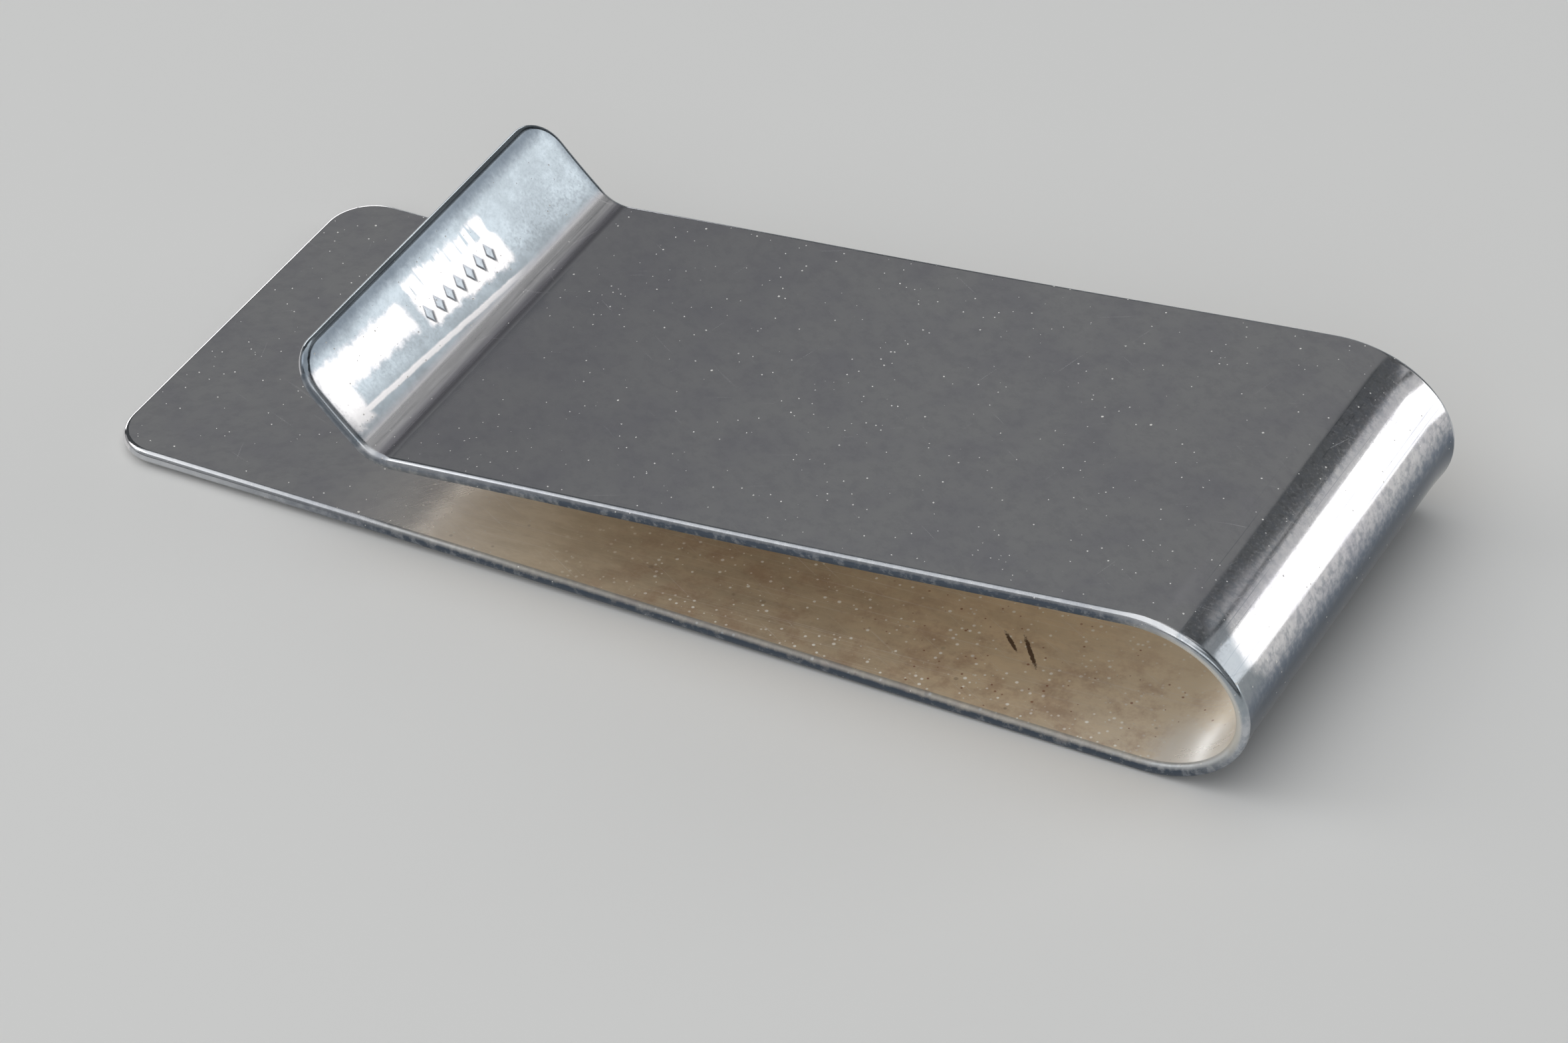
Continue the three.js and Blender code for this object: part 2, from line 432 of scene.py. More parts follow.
class Recipe:
    """Builds a material. Each method adds one node and gives its output. Patterns lie in the
    flat strip's own coordinates, in millimetres: along, across and through the gauge."""

    def __init__(self, name):
        self.material = bpy.data.materials.new(name)
        self.material.use_nodes = True
        self.nodes = self.material.node_tree.nodes
        self.links = self.material.node_tree.links
        self.surface = self.nodes["Principled BSDF"]
        place = self.node("Attribute", attribute_name="strip")
        scaled = self.node("VectorMath", operation="SCALE")
        scaled.inputs["Scale"].default_value = 1 / MM
        self.links.new(place.outputs["Vector"], scaled.inputs[0])
        self.strip = scaled.outputs[0]
        split = self.node("SeparateXYZ")
        self.links.new(self.strip, split.inputs[0])
        self.along, self.across, self.depth = split.outputs

    def node(self, kind, **settings):
        node = self.nodes.new("ShaderNode" + kind)
        for name, value in settings.items():
            setattr(node, name, value)
        return node

    def attribute(self, name):
        return self.node("Attribute", attribute_name=name).outputs["Fac"]

    def put(self, value, socket):
        if isinstance(value, bpy.types.NodeSocket):
            self.links.new(value, socket)
        else:
            socket.default_value = value

    def maths(self, operation, *values):
        node = self.node("Math", operation=operation)
        for value, socket in zip(values, node.inputs):
            self.put(value, socket)
        return node.outputs[0]

    def chain(self, operation, values):
        result = values[0]
        for value in values[1:]:
            result = self.maths(operation, result, value)
        return result

    def product(self, *values):
        return self.chain("MULTIPLY", values)

    def total(self, *values):
        return self.chain("ADD", values)

    def larger(self, *values):
        return self.chain("MAXIMUM", values)

    def step(self, value, low, high, result_low=0.0, result_high=1.0):
        """A smooth step from low to high; low may be the larger one."""
        node = self.node("MapRange", interpolation_type="SMOOTHSTEP")
        if low > high:
            low, high, result_low, result_high = high, low, result_high, result_low
        ends = {"From Min": low, "From Max": high, "To Min": result_low, "To Max": result_high}
        for name, number in ends.items():
            node.inputs[name].default_value = number
        self.put(value, node.inputs["Value"])
        return node.outputs[0]

    def band(self, value, low, high, soft):
        """1 between low and high, 0 outside, with soft borders."""
        rises = self.step(value, low - soft, low + soft)
        return self.product(rises, self.step(value, high + soft, high - soft))

    def moved(self, scale=(1, 1, 1), turn=0.0, shift=(0, 0, 0)):
        """The strip's coordinates, turned first and then scaled and shifted."""
        turned = self.node("Mapping")
        turned.inputs["Rotation"].default_value = (0, 0, turn)
        self.links.new(self.strip, turned.inputs["Vector"])
        node = self.node("Mapping")
        node.inputs["Scale"].default_value = scale
        node.inputs["Location"].default_value = shift
        self.links.new(turned.outputs[0], node.inputs["Vector"])
        return node.outputs[0]

    def noise(self, scale=(1, 1, 1), turn=0.0, shift=(0, 0, 0), detail=3.0, rough=0.55):
        node = self.node("TexNoise")
        node.inputs["Scale"].default_value = 1.0
        node.inputs["Detail"].default_value = detail
        node.inputs["Roughness"].default_value = rough
        self.links.new(self.moved(scale, turn, shift), node.inputs["Vector"])
        return node.outputs["Fac"]

    def specks(self, per_mm, size, share_kept, shift=(0, 0, 0)):
        """Round specks of the given size in mm, in a share of the cells of a 1/per_mm grid."""
        node = self.node("TexVoronoi")
        node.inputs["Scale"].default_value = per_mm
        self.links.new(self.moved(shift=shift), node.inputs["Vector"])
        split = self.node("SeparateXYZ")
        self.links.new(node.outputs["Color"], split.inputs[0])
        kept = self.maths("LESS_THAN", split.outputs[0], share_kept)
        grown = self.maths("MULTIPLY_ADD", split.outputs[1], 0.7, 0.5)
        near = self.maths("DIVIDE", node.outputs["Distance"], grown)
        return self.product(self.step(near, size * per_mm, size * per_mm * 0.5), kept)

    def stroke(self, along, across, turn, half_long, half_wide):
        """A ragged stroke drawn on the strip at a place in mm."""
        node = self.node("Mapping", vector_type="TEXTURE")
        node.inputs["Location"].default_value = (along, across, 0)
        node.inputs["Rotation"].default_value = (0, 0, turn)
        node.inputs["Scale"].default_value = (half_long, half_wide, 1)
        self.links.new(self.strip, node.inputs["Vector"])
        reach = self.node("VectorMath", operation="LENGTH")
        self.links.new(node.outputs[0], reach.inputs[0])
        ragged = self.maths("MULTIPLY_ADD", self.noise((7, 7, 7)), 1.2, reach.outputs["Value"])
        return self.step(ragged, 1.6, 1.25)

    def streaks(self, turn, fine, long, low, high, shift=(0, 0, 0)):
        """Thin straight marks: fine is their spacing and long their length, in mm."""
        field = self.noise((1 / long, 1 / fine, 1), turn, shift, detail=2, rough=0.5)
        return self.step(field, low, high)

    def mix(self, factor, first, second):
        node = self.node("Mix", data_type="RGBA")
        self.put(factor, node.inputs["Factor"])
        sockets = [s for s in node.inputs if s.type == "RGBA"]
        for value, socket in zip((first, second), sockets):
            self.put(value, socket)
        return [s for s in node.outputs if s.type == "RGBA"][0]

    def bump(self, height, distance):
        node = self.node("Bump")
        node.inputs["Strength"].default_value = 1.0
        node.inputs["Distance"].default_value = distance
        self.links.new(height, node.inputs["Height"])
        self.links.new(node.outputs["Normal"], self.surface.inputs["Normal"])


class SilverFinish(Recipe):
    """Worn sterling silver: handled and scratched outside, tan tarnish inside the slot and
    blue-grey tarnish on the bends and edges. Painted shade darkens the lower bow, the start of the
    fold, the lip's rim, the punch walls, the side edges and the middle of the slot; painted
    highlights lie on the lip, inside the bow and as glints in the slot. Places and sizes are in mm
    on the flat strip."""

    BUMP_DEPTH = 0.0012 * MM

    # turn, spacing, length, where they start to show and where they are full, shift
    SCRATCHES = (
        (0.35, 0.10, 4.5, 0.68, 0.80, (0, 0, 0)),
        (-0.6, 0.10, 4, 0.69, 0.80, (5, 2, 0)),
        (1.25, 0.10, 4, 0.69, 0.80, (1, 8, 0)),
    )
    CORNER_RUBS = (-0.9, 0.06, 2.5, 0.52, 0.66, (2, 5, 0))
    DRAWN_LINES = (math.pi / 2, 0.055, 11, 0.63, 0.70, (2, 6, 0))
    SLOT_RUBS = ((-0.06, 0.07, 9, 0.58, 0.74, (3, 3, 0)), (0.5, 0.07, 4, 0.64, 0.76, (7, 1, 0)))

    # specks per mm, size, share kept, shift
    LARGE_DUST = (1.1, 0.060, 0.42)
    SMALL_DUST = (3.0, 0.040, 0.50, (4, 4, 0))
    # white specks in the slot that stand for glints: painted glints
    PAINTED_GLINTS = (3.0, 0.085, 0.8, (6, 2, 0))
    RUST_SPECKS = (2.6, 0.065, 0.5, (2, 7, 0))
    BROWN_SPOTS = (1.6, 0.13, 0.18, (9, 1, 0))

    # along, across, turn, half length, half width
    BROWN_MARKS = ((38.8, -5.3, -0.76, 0.80, 0.10), (39.8, -5.6, -0.89, 1.25, 0.11))

    # patches of the lip that are wiped clean where its highlights fall, partly wear and partly
    # painted highlight: from and to up the lip, from and to across, softness
    WIPED_HIGHLIGHTS = (
        (1.35, 2.75, -8.8, -3.2, 0.2, 0.2),
        (-0.2, 2.75, -9.6, -7.9, 0.2, 0.2),
        (0.95, 2.5, -2.6, 3.2, 0.15, 0.15),
    )
    # a combed patch of clean silver where a highlight falls, partly wear and partly painted
    # highlight
    COMBED_HIGHLIGHT = (2.3, 3.2, -2.6, 3.1, 0.2, 0.1)

    def __init__(self, name, sizes, colours, line, pitting):
        super().__init__(name)
        self.colours = colours
        self.pitting = pitting
        self.half_width = sizes.width / MM / 2
        self.edge = sizes.gauge / MM / 2
        self.leaf_end, self.bow_end = line.leaf / MM, line.bow_end / MM
        self.bow_middle = (self.leaf_end + self.bow_end) / 2
        self.spring_end, self.fold_end = line.spring_end / MM, line.fold_end / MM
        self.tip = line.tip / MM
        self.find_zones()
        self.make_patterns()
        outside = self.rim_and_punches(self.fold(self.lip(self.bow(self.handled_metal()))))
        colour_all = self.edges(self.mix(self.in_slot, outside, self.slot()))
        self.links.new(colour_all, self.surface.inputs["Base Color"])
        self.links.new(self.roughness(), self.surface.inputs["Roughness"])
        self.links.new(self.metal_share(), self.surface.inputs["Metallic"])
        self.bump(self.relief(), self.BUMP_DEPTH)

    def tone(self, name, shade=1.0):
        """One of the silver's colours, darkened by shade."""
        return (*(c * shade for c in getattr(self.colours, name)), 1)

    def rest_of(self, mask):
        return self.maths("SUBTRACT", 1.0, mask)

    def find_zones(self):
        """Masks: 1 on one part of the strip and 0 elsewhere."""
        along, bow_middle = self.along, self.bow_middle
        self.inner = self.step(self.depth, 0.1, -0.1)
        self.outer = self.rest_of(self.inner)
        self.off_middle = self.maths("ABSOLUTE", self.across)
        flat_half = self.half_width - self.edge
        self.side_edge = self.step(self.off_middle, flat_half, flat_half + 0.06)
        self.in_slot = self.product(
            self.inner,
            self.step(along, 9.0, 21.0),
            self.step(along, self.fold_end + 1.0, self.spring_end),
        )
        self.on_bow = self.product(
            self.outer,
            self.step(along, self.leaf_end - 1.0, self.leaf_end + 1.5),
            self.step(along, self.bow_end - 1.2, self.bow_end - 2.2),
        )
        self.bent = self.product(self.on_bow, self.step(along, bow_middle + 4.2, bow_middle + 4.0))
        past_fold = self.step(along, self.fold_end - 0.15, self.fold_end + 0.35)
        self.on_lip = self.product(self.outer, past_fold)
        self.up_lip = self.maths("SUBTRACT", along, self.fold_end)
        # Painted shade: the lower half of the side edges, away from the bow and the free end, is
        # darkened in edges() and made duller.
        below = self.step(along, bow_middle + 1, bow_middle - 1, -1.0, 1.0)
        self.lower_edge_shade = self.product(
            self.side_edge,
            self.step(self.product(self.depth, below), -0.22, -0.06),
            self.rest_of(self.band(along, bow_middle - 1.8, bow_middle + 4.6, 1.5)),
            self.step(along, 3, 18, 0.1, 1.0),
        )

    def make_patterns(self):
        """Patterns that more than one part of the finish uses."""
        cloud = self.noise((0.35, 0.35, 0.35), detail=5, rough=0.6)
        self.film = self.step(cloud, 0.38, 0.70)
        self.mottle = self.noise((3.2, 3.2, 3.2), shift=(7, 3, 1), detail=4, rough=0.65)
        self.pits = self.noise((9, 9, 9), shift=(2, 9, 4), detail=3, rough=0.6)
        self.drawn = self.noise((14, 0.30, 1), shift=(3, 1, 0), detail=4, rough=0.6)
        self.grain = self.noise((0.5, 1.3, 1), shift=(1, 5, 0), detail=6, rough=0.65)
        ragged = self.noise((1.7, 1.7, 1), shift=(8, 8, 0), detail=5)
        self.ragged = self.maths("MULTIPLY_ADD", ragged, 0.9, -0.45)
        self.ragged_across = self.total(self.across, self.product(self.ragged, 0.6))
        corner_rubs = self.product(
            self.streaks(*self.CORNER_RUBS),
            self.band(self.along, 12, 19, 2),
            self.step(self.across, -4, -7),
        )
        scratches = [self.streaks(*marks) for marks in self.SCRATCHES]
        scratches.append(self.product(corner_rubs, 0.8))
        self.rubbed = self.product(self.total(*scratches), self.rest_of(self.on_lip))
        small_dust = self.product(self.specks(*self.SMALL_DUST), 0.9)
        self.dust = self.larger(self.specks(*self.LARGE_DUST), small_dust)
        self.painted_glints = self.product(self.specks(*self.PAINTED_GLINTS), self.band(self.along, 22, 49, 5))
        # A pale smear inside the bow: partly smoother metal, partly a painted highlight.
        smear_along = self.total(self.along, self.product(self.ragged, 1.6))
        smear_across = self.total(self.across, self.product(self.ragged, 2.2))
        self.smear_highlight = self.product(
            self.band(smear_along, self.leaf_end + 0.3, self.leaf_end + 4.4, 0.7),
            self.step(smear_across, -5.6, -8.2),
        )
        self.bloom = self.product(
            self.bent,
            self.band(self.along, self.bow_middle + 2.7, self.bow_middle + 4.2, 0.35),
            self.step(self.mottle, 0.34, 0.64, 0.02, 0.13),
        )

    def handled_metal(self):
        """Clean metal under a cloudy violet haze."""
        hazy = self.mix(self.product(self.film, 0.45), self.tone("silver"), self.tone("haze"))
        fine_haze = self.noise((1.5, 2.2, 1), -0.6, (6, 2, 0), detail=6, rough=0.7)
        return self.mix(self.step(fine_haze, 0.42, 0.66, 0.0, 0.22), hazy, self.tone("haze", 0.8))

    def bow(self, outside):
        """Mottled tarnish and fine lines where it is bent; painted shade ends its highlight short
        of the front edge and darkens its lower half.
        """
        along, middle, mottle = self.along, self.bow_middle, self.mottle
        shine = self.band(along, middle + 1.2, self.bow_end - 3.2, 0.4)
        mottled = self.product(
            self.bent,
            self.step(mottle, 0.40, 0.66),
            self.step(shine, 0, 1, 0.5, 0.08),
            self.pitting,
        )
        lined = self.product(self.on_bow, self.streaks(*self.DRAWN_LINES), 0.4)
        outside = self.mix(self.larger(mottled, lined), outside, self.tone("steel"))
        outside = self.mix(self.bloom, outside, self.tone("pale_blue"))

        # Painted shade: a blue-grey patch, rounded at its ends, that ends the highlight short of
        # the bow's front edge.
        off_crest = self.maths("SUBTRACT", along, middle + 1.75)
        rounded_end = self.total(self.ragged_across, self.product(off_crest, off_crest, -0.45))
        crest = self.band(along, middle + 0.2, middle + 3.3, 0.6)
        highlight_end_shade = self.product(self.on_bow, crest, self.step(rounded_end, -7.7, -8.4), 0.85)
        outside = self.mix(highlight_end_shade, outside, self.tone("pale_blue", 0.6))

        # Painted shade: mottled blue-grey low on the bow and near black under it, where it faces
        # the floor.
        face = self.product(self.on_bow, self.step(self.side_edge, 0.6, 0.0, 0.12, 1.0))
        low = self.product(face, self.step(along, middle + 1.05, middle + 0.1))
        low = self.product(low, self.step(mottle, 0.25, 0.6, 0.70, 0.95))
        outside = self.mix(low, outside, self.tone("steel"))
        under = self.product(face, self.step(along, middle + 0.45, middle - 0.35))
        under = self.product(under, self.step(mottle, 0.2, 0.7, 0.98, 0.75))
        return self.mix(under, outside, self.tone("deep"))

    def lip(self, outside):
        """A pale film on the thumb lip, wiped off in ragged patches where its highlights fall,
        partly wear and partly painted highlight; painted shade darkens the spring leaf towards the
        fold.
        """
        # Painted shade: the outside of the spring leaf darkens towards the fold.
        shade = self.step(self.along, self.bow_end + 12, self.spring_end)
        outside = self.mix(self.product(self.outer, shade, 0.35), outside, self.tone("haze", 0.72))

        leaning = self.product(self.across, 0.06)
        up = self.total(self.up_lip, self.ragged, leaning)
        strokes = self.noise((0.25, 3.2, 1), shift=(0, 4, 0), detail=1)
        # Painted highlight: a ragged line of clean silver just above the fold.
        off_line = self.total(self.up_lip, leaning, self.product(self.ragged, 0.15), -0.29)
        fold_highlight = self.step(self.maths("ABSOLUTE", off_line), 0.17, 0.07)
        # Clean silver where the lip's highlights fall: partly wiped film, partly painted highlight.
        bare_highlights = self.larger(
            *(self.patch(up, *place) for place in self.WIPED_HIGHLIGHTS),
            self.product(self.patch(up, *self.COMBED_HIGHLIGHT), self.step(strokes, 0.44, 0.5)),
            self.product(fold_highlight, self.step(self.across, 4.6, 2.0)),
        )
        patches = self.noise((0.45, 0.35, 1), shift=(3, 6, 0), detail=7, rough=0.7)
        patches = self.step(patches, 0.40, 0.60)
        film = self.mix(patches, self.tone("pale_blue"), self.tone("pale_blue", 0.80))
        outside = self.mix(self.product(self.on_lip, bare_highlights), outside, self.tone("silver"))
        return self.mix(self.product(self.on_lip, self.rest_of(bare_highlights)), outside, film)

    def patch(self, up, low, high, left, right, soft_up, soft_across):
        """A ragged patch on the lip."""
        across = self.band(self.ragged_across, left, right, soft_across)
        return self.product(self.band(up, low, high, soft_up), across)

    def fold(self, outside):
        """Painted shade where the fold leaves the spring leaf, and clean silver below the lip."""
        start = self.spring_end
        # Painted shade: darkened haze where the fold starts, clean silver after it.
        bright = self.step(self.along, start + 0.50, start + 1.0)
        tone = self.mix(bright, self.tone("haze", 0.45), self.tone("silver"))
        at_fold = self.band(self.along, start + 0.15, self.fold_end - 0.05, 0.15)
        return self.mix(self.product(self.outer, at_fold, 0.85), outside, tone)

    def rim_and_punches(self, outside):
        """A dark mottled rim round the lip, partly tarnish and partly painted shade where its edge
        rolls away, and painted shade on the walls round the punched lozenges.
        """
        # Partly tarnish, partly painted shade: the dark rim along the lip's tip and sides, with a
        # light line at the very tip.
        to_tip = self.maths("SUBTRACT", self.tip, self.along)
        outline = self.maths("MULTIPLY", self.attribute("outline"), 1 / MM)
        to_rim = self.maths("MINIMUM", to_tip, self.total(outline, 0.45))
        to_rim = self.total(to_rim, self.product(self.mottle, 0.5))
        rim = self.product(self.on_lip, self.step(to_rim, 1.45, 0.6))
        rim = self.product(rim, self.step(to_tip, 0.0, 0.35, 0.15, 0.72))
        outside = self.mix(rim, outside, self.tone("deep"))
        punch = self.attribute("punch")
        floor = self.product(self.step(punch, 0.7, 1.0), 0.8)
        outside = self.mix(floor, outside, self.tone("pale_blue"))
        # Painted shade on the sloping walls of the lozenges.
        wall_shade = self.product(self.step(punch, 0.08, 0.3), self.step(punch, 1.1, 0.8), 0.6)
        return self.mix(wall_shade, outside, self.tone("steel"))

    def slot(self):
        """Tan film, creamy near the bow and the mouth, with painted shadow in the middle, rubs,
        specks, painted glints, a smear that is partly a painted highlight, and two brown marks.
        """
        along, across, grain = self.along, self.across, self.grain
        leaf_end = self.leaf_end
        creamy = self.larger(
            self.step(self.total(along, self.product(grain, 4)), leaf_end - 6, leaf_end + 3),
            self.step(self.total(along, self.product(grain, 6)), 30, 17, 0.0, 0.75),
        )
        inside = self.mix(creamy, self.tone("tan"), self.tone("cream"))
        # Painted shadow deep in the middle of the slot, on top of the darker grain.
        shadow_middle = self.product(self.band(along, 18, 34, 5), 0.48)
        grain_and_shadow = self.total(self.step(grain, 0.35, 0.68, 0.0, 0.30), shadow_middle)
        grain_and_shadow = self.product(grain_and_shadow, self.step(along, leaf_end + 2, leaf_end - 5))
        inside = self.mix(grain_and_shadow, inside, self.tone("tan", 0.6))
        rubs = self.product(self.total(*(self.streaks(*marks) for marks in self.SLOT_RUBS)), 0.35)
        inside = self.mix(rubs, inside, self.tone("silver"))
        # Painted glints: white specks in the slot.
        inside = self.mix(self.painted_glints, inside, self.tone("painted_glints"))

        rusty = self.product(self.band(along, 33, 50, 3), self.step(across, -1, -4), 0.8)
        rusty = self.product(self.specks(*self.RUST_SPECKS), rusty)
        inside = self.mix(rusty, inside, self.tone("rust"))
        blotches = self.noise((0.9, 0.9, 1), shift=(4, 2, 0), detail=6, rough=0.7)
        clouded = self.product(
            self.band(along, 22, 48, 4),
            self.step(blotches, 0.42, 0.70),
            self.step(across, -1.0, -6.5),
            0.38,
        )
        inside = self.mix(clouded, inside, self.tone("rust"))
        # Painted highlight: the pale smear inside the bow.
        inside = self.mix(self.product(self.smear_highlight, 0.85), inside, self.tone("smear_highlight"))

        spots = self.specks(*self.BROWN_SPOTS)
        spots = self.product(spots, self.step(self.off_middle, 4.5, 8.5), 0.35)
        marks = [self.stroke(*mark) for mark in self.BROWN_MARKS]
        return self.mix(self.larger(spots, *marks), inside, self.tone("brown"))

    def edges(self, colour_all):
        """Blue-grey mottling on the side edges, partly tarnish and partly painted shade: darker
        away from the lip, the bow's nose and the free end, and strongest on their lower half. Dust
        over everything.
        """
        # Partly tarnish, partly painted shade: the edges are darker away from the lip, the bow's
        # nose and the free end.
        off_bow = self.band(self.along, self.bow_middle - 3.5, self.bow_middle + 6.5, 2)
        edge_tarnish_and_shade = self.product(
            self.side_edge,
            self.step(self.along, self.spring_end, self.spring_end - 12, 0.12, 0.4),
            self.step(off_bow, 0, 1, 1, 0.1),
            self.step(self.along, 2, 12, 0.2, 1),
        )
        tarnish_and_shade = self.product(
            self.total(edge_tarnish_and_shade, self.product(self.lower_edge_shade, 0.62)),
            self.step(self.mottle, 0.30, 0.60, 0.75, 1.1),
        )
        colour_all = self.mix(self.product(self.side_edge, 0.4), colour_all, self.tone("pale_blue"))
        colour_all = self.mix(tarnish_and_shade, colour_all, self.tone("deep"))
        return self.mix(self.dust, colour_all, self.tone("dust"))

    def roughness(self):
        on_fold = self.band(self.along, self.spring_end + 0.35, self.fold_end - 0.1, 0.3)
        outside = self.total(
            self.colours.polish,
            self.product(self.film, 0.04),
            self.product(self.rubbed, 0.18),
            self.product(self.bent, self.step(self.pits, 0.50, 0.72), 0.10 * self.pitting),
            self.product(self.outer, on_fold, self.step(self.drawn, 0.3, 0.7, 0.18, 0.30)),
            self.product(self.on_lip, self.step(self.pits, 0.40, 0.70, 0.05, 0.12)),
        )
        grain, smear_highlight = self.product(self.grain, 0.12), self.product(self.smear_highlight, -0.14)
        inside = self.total(self.colours.slot_polish, grain, smear_highlight)
        return self.total(
            self.product(outside, self.rest_of(self.in_slot)),
            self.product(inside, self.in_slot),
            self.product(self.side_edge, 0.08),
            self.product(self.lower_edge_shade, 0.25),
            self.product(self.dust, 0.5),
        )

    def metal_share(self):
        """Bare metal except where dust, film or tarnish lies on it, on the painted glints and on
        the lower edges that are painted as shaded.
        """
        return self.rest_of(
            self.larger(
                self.product(self.dust, 0.9),
                self.product(self.in_slot, 0.5),
                self.product(self.lower_edge_shade, 0.75),
                self.product(self.painted_glints, self.in_slot),
                self.bloom,
            )
        )

    def relief(self):
        """Heights in shares of BUMP_DEPTH: pits, drawn lines, scratches, mottling and dust."""
        crisp = self.step(self.along, self.bow_end - 2.4, self.bow_end - 3.4)
        crisp = self.product(self.on_bow, crisp)
        return self.total(
            self.product(self.pits, self.total(0.03, self.product(crisp, 0.22 * self.pitting))),
            self.product(self.drawn, self.total(0.04, self.product(crisp, 0.55))),
            self.product(self.rubbed, -0.16),
            self.product(self.mottle, self.total(0.05, self.product(crisp, 0.25))),
            self.product(self.dust, 3.0),
        )


def floor_finish(studio):
    material = bpy.data.materials.new("pale_floor")
    material.use_nodes = True
    surface = material.node_tree.nodes["Principled BSDF"]
    surface.inputs["Base Color"].default_value = (*studio.floor_colour, 1)
    surface.inputs["Roughness"].default_value = studio.floor_roughness
    surface.inputs["Specular IOR Level"].default_value = 0.2
    return material


# --- operators ---


class PieceOperator:
    """What the operators that bend a piece share."""

    bl_options = {"REGISTER", "UNDO"}

    SLICES_ACROSS = 15
    LEAF_PITTING = 0.3
    BEND_PITTING = 1.0

    def begin(self, context):
        """Reads the panel's sizes and gives them with their centreline."""
        self.sizes = context.scene.clip_sizes
        self.colours = context.scene.silver_colours
        self.line = Centreline(self.sizes)
        if self.line.tip <= self.line.fold_end:
            raise RuntimeError("the thumb lip has no length")
        return self.sizes, self.line

    def silver(self, name, pitting):
        found = bpy.data.materials.get(name)
        if not found:
            found = SilverFinish(name, self.sizes, self.colours, self.line, pitting).material
        return found


class OBJECT_OT_clip_back_leaf(PieceOperator, bpy.types.Operator):
    """Adds the long flat leaf that the clip lies on"""

    bl_idname = "object.clip_back_leaf"
    bl_label = "Back Leaf"

    SLICES_ALONG = 60

    def execute(self, context):
        s, line = self.begin(context)
        bm = cut_blank(s, 0, line.leaf, corner_start=s.back_corner)
        slice_blank(bm, ALONG, 0, line.leaf, self.SLICES_ALONG)
        slice_blank(bm, ACROSS, -s.width / 2, s.width / 2, self.SLICES_ACROSS)
        bend_blank(bm, s, line)
        silver = self.silver("worn_leaf_silver", self.LEAF_PITTING)
        leaf = finish_piece(bm, "back_leaf_strip", [line.leaf], silver)
        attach(leaf, "back")
        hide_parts("back_leaf")
        return {"FINISHED"}


class OBJECT_OT_clip_bow(PieceOperator, bpy.types.Operator):
    """Adds the sprung bow that joins the two leaves"""

    bl_idname = "object.clip_bow"
    bl_label = "Bow"

    SLICES_ALONG = 119
    MIDDLE_SLICES = 13
    FLARE_SLICES = 12
    FLARE_MARGIN = 0.1 * MM

    def execute(self, context):
        s, line = self.begin(context)
        bow_length = line.bow_end - line.leaf
        near_edge = s.width / 2 - s.flare_width

        def flare(along, across):
            over = max(0.0, abs(across) - near_edge) / s.flare_width
            round_bow = math.pi * (along - line.leaf) / bow_length
            return s.bow_flare * over**2 * math.sin(round_bow) ** 2

        bm = cut_blank(s, line.leaf, line.bow_end)
        slice_blank(bm, ALONG, line.leaf, line.bow_end, self.SLICES_ALONG)
        slice_blank(bm, ACROSS, -near_edge, near_edge, self.MIDDLE_SLICES)
        low, high = near_edge - self.FLARE_MARGIN, s.width / 2 - s.gauge / 2
        for side in (1, -1):
            slice_blank(bm, ACROSS, side * low, side * high, self.FLARE_SLICES)
        bend_blank(bm, s, line, flare)
        silver = self.silver("worn_bow_silver", self.BEND_PITTING)
        bow = finish_piece(bm, "bow_strip", [line.leaf, line.bow_end], silver)
        end_point, heading = line.at(line.bow_end)
        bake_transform(bow)
        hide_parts("back_bow", "front_bow")
        return {"FINISHED"}


class OBJECT_OT_clip_spring_leaf(PieceOperator, bpy.types.Operator):
    """Adds the shorter leaf that presses the notes"""

    bl_idname = "object.clip_spring_leaf"
    bl_label = "Spring Leaf"

    SLICES_ALONG = 47

    def execute(self, context):
        s, line = self.begin(context)
        bm = cut_blank(s, line.bow_end, line.spring_end)
        slice_blank(bm, ALONG, line.bow_end, line.spring_end, self.SLICES_ALONG)
        slice_blank(bm, ACROSS, -s.width / 2, s.width / 2, self.SLICES_ACROSS)
        bend_blank(bm, s, line)
        silver = self.silver("worn_leaf_silver", self.LEAF_PITTING)
        leaf = finish_piece(bm, "spring_leaf_strip", [line.bow_end, line.spring_end], silver)
        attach(leaf, "spring")
        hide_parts("spring_leaf")
        return {"FINISHED"}


